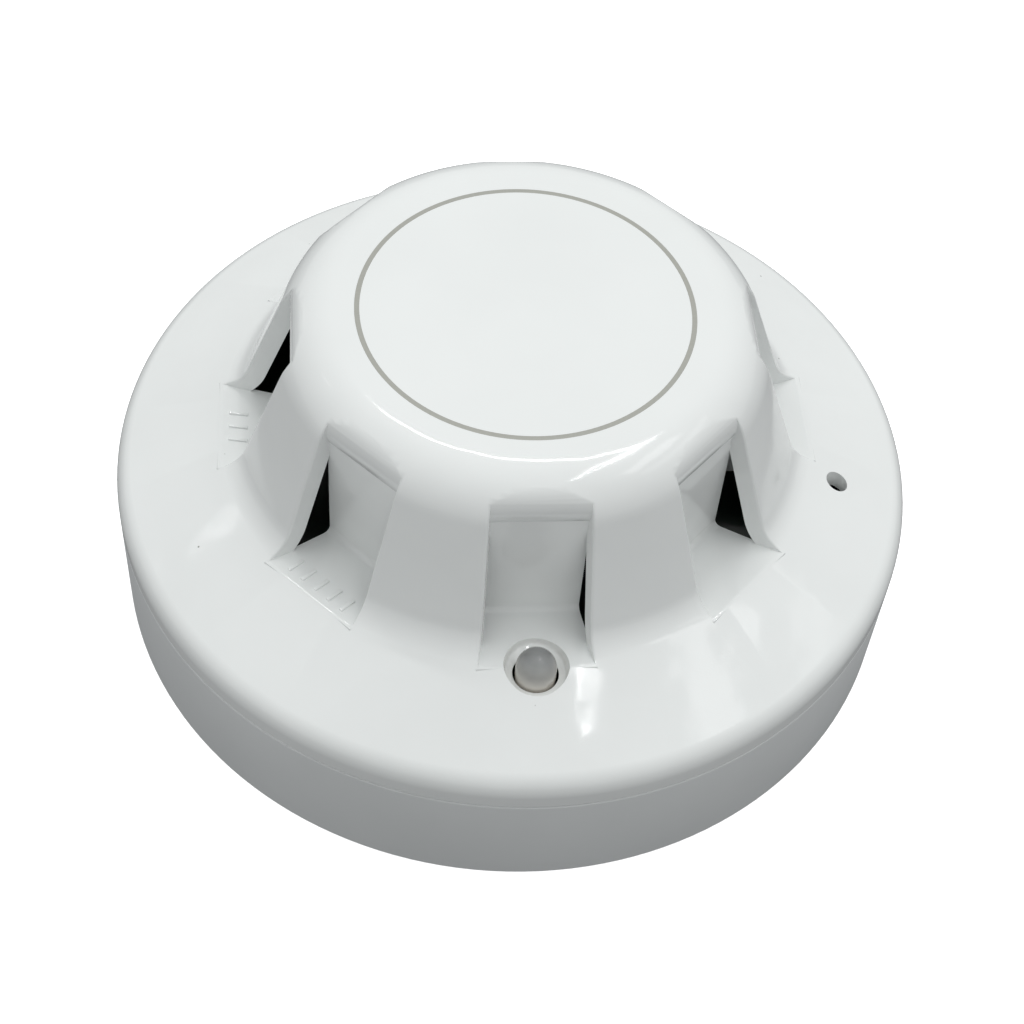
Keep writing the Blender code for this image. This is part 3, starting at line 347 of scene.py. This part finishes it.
# ---- outer cover
print("cover")
cover = {
    "rimRadius": 50.0, "rimLow": 15.8, "top": 45.1, "wall": 2.4, "steps": 160,
    "shoulder": 7.5, "flare": 5.0, "rim": 3.0, "domeTop": 27.66, "domeFoot": 34.8,
    "footHeight": 25.6, "flangeEdge": 19.5,
    "recesses": 8, "recessWall": 27.4, "recessFoot": 37.1, "floorInner": 22.877,
    "lip": 3.7, "lipStart": 60, "lipKink": 6, "lipEnd": -30, "halfTop": 5.9, "halfFoot": 6.85,
    "draft": 0.19, "panelHalf": 5.7, "panelWall": 1.8, "tuck": 0.15, "knee": 0.8,
    "edge": 0.28, "ledRadius": 36.4, "ledHole": 2.7, "funnel": 3.9, "funnelDepth": 1.9,
    "funnelLean": 0.35, "funnelInner": 3.2, "funnelStretch": 1.13,
    "edgeDrop": 3.7, "edgeSlope": 0.366,  # where a recess's top edge is, down the dome's side
    "toolReach": 1.5, "toolSink": 0.5, "wallBite": 0.6,  # how far a cutter or a post goes past
    "edgeSlack": 0.04, "skinSlack": 0.12,  # how near a pillar's corner an edge has to be
    "keyRadius": 40.65, "keyAzimuth": 76.8, "keyHole": 1.4,
    "ring": 19.86, "ringWidth": 0.6, "ringDepth": 0.25,
    "bosses": (22.5, 142.5, 262.5), "bossAxis": 37.5, "boss": 3.0, "bossLow": 11.1,
    "bossHole": 1.4, "bossHoleTop": 17.3,
}


def flangeHeight(radius):
    share = (cover["rimRadius"] - radius) / (cover["rimRadius"] - cover["domeFoot"])
    return cover["flangeEdge"] + (cover["footHeight"] - cover["flangeEdge"]) * share


def scaled(points):
    return [Vector(point) * mm for point in points]


def around(centre, radius, degrees):
    angle = math.radians(degrees)
    return Vector(centre) + radius * Vector((math.cos(angle), math.sin(angle)))


def lipLine(steps):
    # the dome's skin rolls in over a recess, from the shoulder to the recess's wall
    lean = math.atan2(cover["domeFoot"] - cover["domeTop"], cover["top"] - cover["footHeight"])
    reach = cover["shoulder"] * math.tan((turn / 4 - lean) / 2)
    middle = (cover["domeTop"] - reach, cover["top"] - cover["shoulder"])
    first = cover["lipStart"] - cover["lipKink"]
    start = around(middle, cover["shoulder"], cover["lipStart"])
    centre = start - around((0, 0), cover["lip"], first)
    return [around(centre, cover["lip"], first + (cover["lipEnd"] - first) * step / steps)
            for step in range(steps + 1)]


def widened(piece, halfWidth):
    # give a prism of unit half width its real one, which changes outwards and upwards
    for vertex in piece.data.vertices:
        vertex.co.y *= halfWidth(vertex.co.x / mm, vertex.co.z / mm)
    return piece


def recessHalf(out, up):
    edge = cover["domeTop"] + cover["edgeDrop"] * cover["edgeSlope"]
    high = cover["top"] - cover["edgeDrop"]
    share = (high - up) / (high - flangeHeight(cover["recessFoot"]))
    foot = cover["halfFoot"] - cover["draft"] * (cover["recessFoot"] - edge)
    return cover["halfTop"] + (foot - cover["halfTop"]) * share + cover["draft"] * (out - edge)


def panelHalf(out, up):
    share = (out - cover["recessWall"]) / (cover["recessFoot"] - cover["recessWall"])
    foot = cover["halfFoot"] + cover["tuck"]
    return cover["panelHalf"] + (foot - cover["panelHalf"]) * max(0, share)


def recessTool():
    reach = cover["toolReach"]
    low = cover["floorInner"] - cover["toolSink"]
    near = cover["recessWall"] - cover["panelWall"] * cover["wallBite"]
    foot = flangeHeight(cover["recessFoot"])
    far = cover["recessFoot"] + reach
    lip = lipLine(12)
    above = lip[0] + reach * (lip[0] - lip[1]).normalized()
    rise = (foot - low) / (cover["recessFoot"] - near)
    side = [(far, above.y), (far, foot + reach * rise), (near, low), (near, lip[-1].y),
            *reversed(lip), above]
    return widened(prism("recessTool", scaled(side), mm), recessHalf)


def recessPanel():
    foot = flangeHeight(cover["recessFoot"])
    buried = lipLine(1)[-1].y + cover["wall"] / 2
    back = cover["recessWall"] - cover["panelWall"]
    face = [(cover["recessWall"], buried), (cover["recessWall"], cover["floorInner"], cover["knee"]),
            (cover["recessFoot"] - cover["tuck"], foot - cover["tuck"] / 3)]
    rear = [(cover["recessFoot"] + cover["wall"] / 3, foot - cover["panelWall"]),
            (back, cover["floorInner"] - cover["panelWall"], cover["knee"]), (back, buried)]
    side = rounded(face, 6) + rounded(rear, 6)
    return widened(prism("recessPanel", scaled(side), mm), panelHalf)


def pillarEdge(edge, verts):
    # the sharp outer corner of a pillar, beside a recess
    ends = [verts[index].co / mm for index in edge.vertices]
    for end in ends:
        radius = math.hypot(end.x, end.y)
        if not (28.0 < radius < 37.3 and 24.3 < end.z < 42.9):
            return False
        azimuth = math.degrees(math.atan2(end.x, -end.y))
        off = (azimuth + 22.5) % 45 - 22.5
        along = radius * math.cos(math.radians(off))
        across = abs(radius * math.sin(math.radians(off)))
        if abs(across - recessHalf(along, end.z)) > cover["edgeSlack"]:
            return False
        if radius < skinRadius(end.z) - cover["skinSlack"]:
            return False
    return True


def skinRadius(z):
    # outer radius of the dome at a height, below its shoulder's start
    points = coverOutline
    for (r0, z0), (r1, z1) in zip(points, points[1:]):
        if z1 <= z <= z0 and z0 > z1:
            return r0 + (r1 - r0) * (z0 - z) / (z0 - z1)
    return 0


coverOutline = rounded([(0, cover["top"]), (cover["domeTop"], cover["top"], cover["shoulder"]),
                        (cover["domeFoot"], cover["footHeight"], cover["flare"]),
                        (cover["rimRadius"], cover["flangeEdge"], cover["rim"]),
                        (cover["rimRadius"], cover["rimLow"])], 12)


def makeCover():
    shell = lathe("outerCover", scaled(coverOutline), cover["steps"])
    keepShape(shell, "SOLIDIFY", thickness=cover["wall"] * mm, offset=-1.0)
    settle(shell, Matrix.Rotation(turn / cover["steps"] / 2, 4, "Z"))
    azimuths = [360 / cover["recesses"] * index for index in range(cover["recesses"])]
    carve(shell, ringOf(recessTool(), azimuths))
    makeActive(shell)
    bpy.ops.object.mode_set(mode="EDIT")
    bpy.ops.mesh.select_all(action="SELECT")
    bpy.ops.mesh.remove_doubles(threshold=0.004 * mm)
    bpy.ops.mesh.select_all(action="DESELECT")
    bpy.ops.object.mode_set(mode="OBJECT")
    found = 0
    for edge in shell.data.edges:
        edge.select = pillarEdge(edge, shell.data.vertices)
        found += edge.select
    print("pillar edges", found)
    bpy.ops.object.mode_set(mode="EDIT")
    bpy.ops.mesh.select_mode(type="EDGE")
    bpy.ops.mesh.bevel(offset=cover["edge"] * mm, segments=3, profile=0.5, clamp_overlap=False)
    bpy.ops.mesh.select_mode(type="VERT")
    bpy.ops.object.mode_set(mode="OBJECT")
    carve(shell, ringOf(recessPanel(), azimuths), "UNION")
    floor = flangeHeight(cover["ledRadius"])
    depth = cover["funnelDepth"]
    lean = cover["funnelLean"]
    well = [(0, floor + depth), (cover["funnel"] + lean, floor + depth),
            (cover["funnel"] - lean, floor - depth, 0.4), (cover["ledHole"], floor - depth - lean),
            (cover["ledHole"], floor - 8), (0, floor - 8)]
    funnel = lathe("funnelTool", scaled(rounded(well, 3)), 64)
    for vertex in funnel.data.vertices:
        if vertex.co.x < 0 and vertex.co.xy.length > cover["funnelInner"] * mm:
            vertex.co.x *= cover["funnelStretch"]  # longer towards the dome
    carve(shell, ringOf(funnel, [0], cover["ledRadius"] * mm))
    key = rod("keyTool", cover["keyHole"] * mm, 14 * mm, 26 * mm, 40)
    carve(shell, ringOf(key, [cover["keyAzimuth"]], cover["keyRadius"] * mm))
    half = cover["ringWidth"] / 2
    low = cover["top"] - cover["ringDepth"]
    groove = lathe("grooveTool", scaled([(cover["ring"] - half, cover["top"] + 1),
                                         (cover["ring"] + half, cover["top"] + 1),
                                         (cover["ring"] + half, low), (cover["ring"] - half, low)]),
                   cover["steps"], closed=True)
    carve(shell, groove)
    top = flangeHeight(cover["bossAxis"]) - cover["wall"] * cover["wallBite"]
    post = rod("bossPost", cover["boss"] * mm, cover["bossLow"] * mm, top * mm, 40)
    carve(shell, ringOf(post, cover["bosses"], cover["bossAxis"] * mm), "UNION")
    hole = rod("bossHole", cover["bossHole"] * mm, (cover["bossLow"] - 1) * mm,
               cover["bossHoleTop"] * mm, 24)
    carve(shell, ringOf(hole, cover["bosses"], cover["bossAxis"] * mm))
    return shell


def makeFloorBars(shell):
    # plain raised bars across the floors of three recesses, towards their outer edges
    marks = {"recesses": {-45: 5, -90: 3, -135: 3}, "radius": 34.6, "length": 2.4, "width": 0.5,
             "height": 0.22, "spacing": 2.1, "edge": 0.12}
    rows = []
    foot = flangeHeight(cover["recessFoot"])
    rise = math.atan2(foot - cover["floorInner"], cover["recessFoot"] - cover["recessWall"])
    level = foot - (cover["recessFoot"] - marks["radius"]) * math.tan(rise)
    for azimuth, count in marks["recesses"].items():
        for index in range(count):
            nothingSelected()
            bpy.ops.mesh.primitive_cube_add(size=mm)
            bar = bpy.context.object
            bar.scale = (marks["length"], marks["width"], marks["height"] * 2)
            settle(bar)
            keepShape(bar, "BEVEL", width=marks["edge"] * mm, segments=2)
            off = (index - (count - 1) / 2) * marks["spacing"]
            tilt = Matrix.Rotation(-rise, 4, "Y") @ Matrix.Translation((0, off * mm, 0))
            settle(bar, facing(azimuth, marks["radius"] * mm, level * mm) @ tilt)
            rows.append(bar)
    carve(shell, joined(rows), "UNION")


shell = makeCover()
makeFloorBars(shell)
shaded(shell, 35)
keepShape(shell, "WEIGHTED_NORMAL", keep_sharp=True, mode="FACE_AREA", weight=60)
finished(shell, "head", coverWhite, "housing_white", "outer_cover")
print("cover faces", len(shell.data.polygons))

# ---- grey ring
half = cover["ringWidth"] / 2 - 0.01
low = cover["top"] - cover["ringDepth"] + 0.02
ringPoints = [(cover["ring"] - half, cover["top"]), (cover["ring"] + half, cover["top"]),
              (cover["ring"] + half, low), (cover["ring"] - half, low)]
faceRing = lathe("faceRing", scaled(ringPoints), cover["steps"], closed=True)
shaded(faceRing)
finished(faceRing, "head", ringGrey, "ring_grey", "face_ring")

# ---- indicator light
print("indicator light")
led = {"radius": 2.4, "domeHeight": 23.96, "bodyLow": 17.86, "collar": 2.75, "collarHeight": 1.0,
       "legRadius": 0.3, "legSpacing": 2.54, "legLow": 15.3}



def castClearPaintedGlow(name, low, high):
    # cast epoxy: a clear glassy dome, less clear at its foot; its colour is a painted glow, warm
    # white at the foot and grey towards the top, standing in for light from the white funnel and cup
    # below
    material, shader = newMaterial(name, Roughness=0.03, IOR=1.53)
    coords = addNode(material, "TexCoord")
    parts = addNode(material, "SeparateXYZ", {"Vector": (coords, "Object")})
    share = addNode(material, "MapRange", {"Value": (parts, "Z")})
    share.inputs["From Min"].default_value = low * mm
    share.inputs["From Max"].default_value = high * mm
    # painted glow: warm white low on the dome, grey higher up
    tint = addNode(material, "ValToRGB", {"Fac": (share, "Result")})
    tint.color_ramp.elements[0].color = linear("#fdf6ec")
    tint.color_ramp.elements[1].color = linear("#dfe2e3")
    link(material, tint, "Color", shader, "Base Color")
    clear = addNode(material, "MapRange", {"Value": (share, "Result")})
    clear.inputs["To Min"].default_value = 0.30
    clear.inputs["To Max"].default_value = 0.66
    link(material, clear, "Result", shader, "Transmission Weight")
    return material


epoxy = castClearPaintedGlow("epoxyClearPaintedGlow", 22.6, 26.0)


def makeLed():
    dome = [(led["radius"] * math.sin(turn / 4 * step / 12),
             led["domeHeight"] + led["radius"] * math.cos(turn / 4 * step / 12))
            for step in range(13)]
    body = dome + [(led["radius"], led["bodyLow"] + led["collarHeight"]),
                   (led["collar"], led["bodyLow"] + led["collarHeight"]),
                   (led["collar"], led["bodyLow"]), (0, led["bodyLow"])]
    lens = lathe("ledLens", scaled(body), 64)
    settle(lens, facing(0, cover["ledRadius"] * mm))
    shaded(lens)
    finished(lens, "head", epoxy, "clear_lens", "indicator_led")
    cup = lathe("ledCup", scaled([(0, 21.2), (0.5, 21.2), (1.2, 22.3), (1.4, 22.3), (1.4, 20.0),
                                  (0, 20.0)]), 32)
    legs = []
    for side in (-1, 1):
        leg = rod("ledLeg", led["legRadius"] * mm, led["legLow"] * mm, 20.2 * mm, 16)
        settle(leg, Matrix.Translation((0, side * led["legSpacing"] / 2 * mm, 0)))
        legs.append(leg)
    core = joined([cup, *legs])
    settle(core, facing(0, cover["ledRadius"] * mm))
    shaded(core)
    finished(core, "head", tinnedWire, "steel")


makeLed()

# ---- mounting base
print("base")
base = {"radius": 50.0, "height": 15.5, "wall": 2.2, "floor": 2.2, "eye": 13.0, "collarWall": 1.4,
        "collarTop": 5.0, "edge": 0.4, "steps": 160, "slotRadius": 25.5, "slotLength": 12.0,
        "slotWidth": 4.4, "ledges": (0, 90, 180, 270), "ledgeDepth": 3.0, "ledgeAngle": 22,
        "ledgeLow": 11.5, "ledgeHigh": 13.3, "stopTurns": (-9.5, 29.5), "stopAngle": 2,
        "stopLow": 8.2, "stopHigh": 12.4, "rib": (5.2, 8.0), "ribTop": 8.6, "ribPocket": 1.8,
        "ribPocketDepth": 2.0, "terminals": (45, 135, 225, 315), "terminalRadius": 30.0,
        "terminalBlock": (11.0, 11.5), "terminalTop": 3.4, "terminalHole": 2.0,
        "terminalHoleLow": 1.2}


def sector(name, inner, outer, low, high, angle):
    # a piece of a flat ring, centred on the X axis
    corners = [(inner, low), (outer, low), (outer, high), (inner, high)]
    piece = drawOutline(name, scaled(corners), closed=True)
    settle(piece, Matrix.Rotation(math.radians(angle / 2), 4, "Z"))  # the spin runs back from here
    makeActive(piece)
    bpy.ops.object.mode_set(mode="EDIT")
    bpy.ops.mesh.select_all(action="SELECT")
    bpy.ops.mesh.spin(steps=10, angle=math.radians(angle), center=(0, 0, 0), axis=(0, 0, 1))
    bpy.ops.mesh.select_all(action="SELECT")
    bpy.ops.mesh.normals_make_consistent(inside=False)
    bpy.ops.object.mode_set(mode="OBJECT")
    return piece


def brick(name, length, width, low, high, edge=0.25):
    nothingSelected()
    bpy.ops.mesh.primitive_cube_add(size=mm, location=(0, 0, (low + high) / 2 * mm))
    piece = bpy.context.object
    piece.name = name
    piece.scale = (length, width, high - low)
    settle(piece)
    keepShape(piece, "BEVEL", width=edge * mm, segments=3)
    return piece


def addBaseFeatures(body):
    # ledges that hold the head's lugs, stops, the lock screw's rib, four terminal blocks
    inner = base["radius"] - base["wall"] - base["ledgeDepth"]
    outer = base["radius"] - base["wall"] / 2
    ledge = sector("ledge", inner, outer, base["ledgeLow"], base["ledgeHigh"], base["ledgeAngle"])
    carve(body, ringOf(ledge, base["ledges"]), "UNION")
    stop = sector("stop", inner, outer, base["stopLow"], base["stopHigh"], base["stopAngle"])
    stops = [middle + off for middle in base["ledges"] for off in base["stopTurns"]]
    carve(body, ringOf(stop, stops), "UNION")
    rib = brick("lockRib", *base["rib"], base["floor"] / 2, base["ribTop"])
    carve(body, ringOf(rib, [cover["keyAzimuth"]], cover["keyRadius"] * mm), "UNION")
    pocket = rod("lockPocket", base["ribPocket"] * mm, (base["ribTop"] - base["ribPocketDepth"]) * mm,
                 (base["ribTop"] + 1) * mm, 32)
    carve(body, ringOf(pocket, [cover["keyAzimuth"]], cover["keyRadius"] * mm))
    block = brick("terminalBlock", *base["terminalBlock"], base["floor"] / 2, base["terminalTop"])
    carve(body, ringOf(block, base["terminals"], base["terminalRadius"] * mm), "UNION")
    hole = rod("terminalHole", base["terminalHole"] * mm, base["terminalHoleLow"] * mm, 5 * mm, 32)
    carve(body, ringOf(hole, base["terminals"], base["terminalRadius"] * mm))


def makeBase():
    inner = base["radius"] - base["wall"]
    outline = [(base["radius"], 8), (base["radius"], base["height"], 0.25),
               (inner, base["height"], 0.25),
               (inner, base["floor"], 0.6), (base["eye"] + base["collarWall"], base["floor"], 0.5),
               (base["eye"] + base["collarWall"], base["collarTop"], 0.3),
               (base["eye"], base["collarTop"], 0.3), (base["eye"], 0, 0.3),
               (base["radius"], 0, base["edge"]), (base["radius"], 8)]
    body = lathe("mountingBase", scaled(rounded(outline, 4)), base["steps"])
    settle(body, Matrix.Rotation(turn / base["steps"] / 2, 4, "Z"))
    tool = rod("slotTool", base["slotWidth"] / 2 * mm, -1 * mm, 4 * mm, 32)
    bpy.ops.object.mode_set(mode="EDIT")
    bpy.ops.mesh.select_all(action="SELECT")
    bpy.ops.mesh.bisect(plane_co=(0, 0, 0), plane_no=(1, 0, 0))
    bpy.ops.object.mode_set(mode="OBJECT")
    reach = (base["slotLength"] - base["slotWidth"]) / 2 * mm
    for vertex in tool.data.vertices:
        vertex.co.x += math.copysign(reach, vertex.co.x) if abs(vertex.co.x) > 0.001 * mm else 0
    carve(body, ringOf(tool, [90, 270], base["slotRadius"] * mm))
    return body


mountingBase = makeBase()
addBaseFeatures(mountingBase)
shaded(mountingBase)
finished(mountingBase, "base", baseWhiteGreyedShade, "base_white", "base_body")

# ---- materials for the pieces that keep their shape
print("inner pieces")
finishes = {
    "sensor_cage": cageBlack, "insect_screen": gauzeSteel, "head_chassis": chassisBlack,
    "circuit_board": boardMaskShadeDarkened, "microcontroller": chipEpoxy, "bridge_rectifier": chipEpoxy,
    "line_transistor": chipEpoxy, "supply_capacitor": canSleeve, "thermistor": glassBead,
    "contact_blade": nickelBrass, "terminal_strip": nickelBrass, "lock_sleeve": nickelBrass,
    "clamp_plate": zincSteel, "terminal_screw": zincSteel, "chassis_screw": zincSteel,
    "board_screw": zincSteel, "lock_screw": blackSteel,
}
for nodeName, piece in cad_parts.items():
    for start, material in finishes.items():
        if nodeName.startswith(start):
            piece.data.materials.clear()
            piece.data.materials.append(material)

# ---- floor, light and camera
print("stage")
nothingSelected()
bpy.ops.mesh.primitive_plane_add(size=20.0, location=(0, 0, -0.05 * mm))
floor = bpy.context.object
floor.name = "floor"
paper, paperShader = newMaterial("paperSweepWhite", Base_Color=linear("#ffffff"), Roughness=1.0)
paperShader.inputs["Specular IOR Level"].default_value = 0.0
paperShader.inputs["Emission Color"].default_value = linear("#ffffff")
paperShader.inputs["Emission Strength"].default_value = 0.75
floor.data.materials.append(paper)
floor.visible_diffuse = False  # an evenly lit white sweep that throws no light back up
floor.visible_glossy = False

lamps = [  # name, both ends on the lamp plane, width, radiance
    ("tubeBack", (-0.16, 0.63), (0.36, 0.37), 0.026, 30.0),
    ("tubeSideInner", (0.335, 0.36), (0.212, -0.24), 0.009, 30.0),
    ("tubeSideOuter", (0.372, 0.36), (0.246, -0.22), 0.006, 24.0),
    ("panelRight", (0.60, 0.20), (0.58, -0.32), 0.16, 1.5),
    ("panelFarRight", (0.95, 0.30), (0.85, -0.45), 0.16, 0.7),
    ("panelLeft", (-0.90, 0.47), (-0.93, 0.58), 0.018, 5.0),
]
lampHeight = 1.02
for name, start, end, width, radiance in lamps:
    run = Vector(end) - Vector(start)
    middle = (Vector(start) + Vector(end)) / 2
    bpy.ops.object.light_add(type="AREA", location=(middle.x, middle.y, lampHeight))
    lamp = bpy.context.object
    lamp.name = name
    lamp.data.shape = "RECTANGLE"
    lamp.data.size = run.length
    lamp.data.size_y = width
    lamp.data.energy = radiance * math.pi * run.length * width
    lamp.rotation_euler = (0, 0, math.atan2(run.y, run.x))

sky = bpy.data.worlds.new("studio")
sky.use_nodes = True
air = sky.node_tree.nodes["Background"]
coords = addNode(sky, "TexCoord")
parts = addNode(sky, "SeparateXYZ", {"Vector": (coords, "Generated")})
glow = addNode(sky, "ValToRGB", {"Fac": (parts, "Z")})  # brightness by height over the horizon
glow.color_ramp.elements[0].position = 0.0
glow.color_ramp.elements[0].color = (0.19, 0.195, 0.20, 1)
glow.color_ramp.elements[1].position = 1.0
glow.color_ramp.elements[1].color = (0.815, 0.835, 0.835, 1)
for height, level in ((0.04, 0.52), (0.5, 0.675)):
    stop = glow.color_ramp.elements.new(height)
    stop.color = (level * 0.985, level, level, 1)
lean = addNode(sky, "VectorMath", {0: (coords, "Generated")}, operation="DOT_PRODUCT")
lean.inputs[1].default_value = (-0.01, 0.16, 0.0)  # a little brighter from behind
level = addNode(sky, "Math", {0: (lean, "Value")}, operation="ADD")
level.inputs[1].default_value = 1.0
link(sky, glow, "Color", air, "Color")
link(sky, level, "Value", air, "Strength")
bpy.context.scene.world = sky
bpy.context.scene.view_settings.view_transform = "Standard"

shot = {"azimuth": -7.7076, "elevation": 52.0343, "roll": -5.2038, "distance": 270.036,
        "aim": (0.4983, 0.0, 6.1445), "lens": 71.697}
rise = math.radians(shot["elevation"])
back = Vector((0, -math.cos(rise), math.sin(rise)))
upward = Vector((0, math.sin(rise), math.cos(rise)))
right = Vector((1, 0, 0))
tilt = math.radians(shot["roll"])
axisX = right * math.cos(tilt) - upward * math.sin(tilt)
axisY = right * math.sin(tilt) + upward * math.cos(tilt)
eye = (Vector(shot["aim"]) + back * shot["distance"]) * mm
view = Matrix((axisX, axisY, back)).transposed().to_4x4()
bpy.ops.object.camera_add()
camera = bpy.context.object
camera.data.lens = shot["lens"]
camera.data.sensor_width = 36
camera.data.clip_start = 0.01
camera.matrix_world = (Matrix.Rotation(math.radians(shot["azimuth"]), 4, "Z")
                       @ Matrix.Translation(eye) @ view)
bpy.context.scene.camera = camera

print("done")
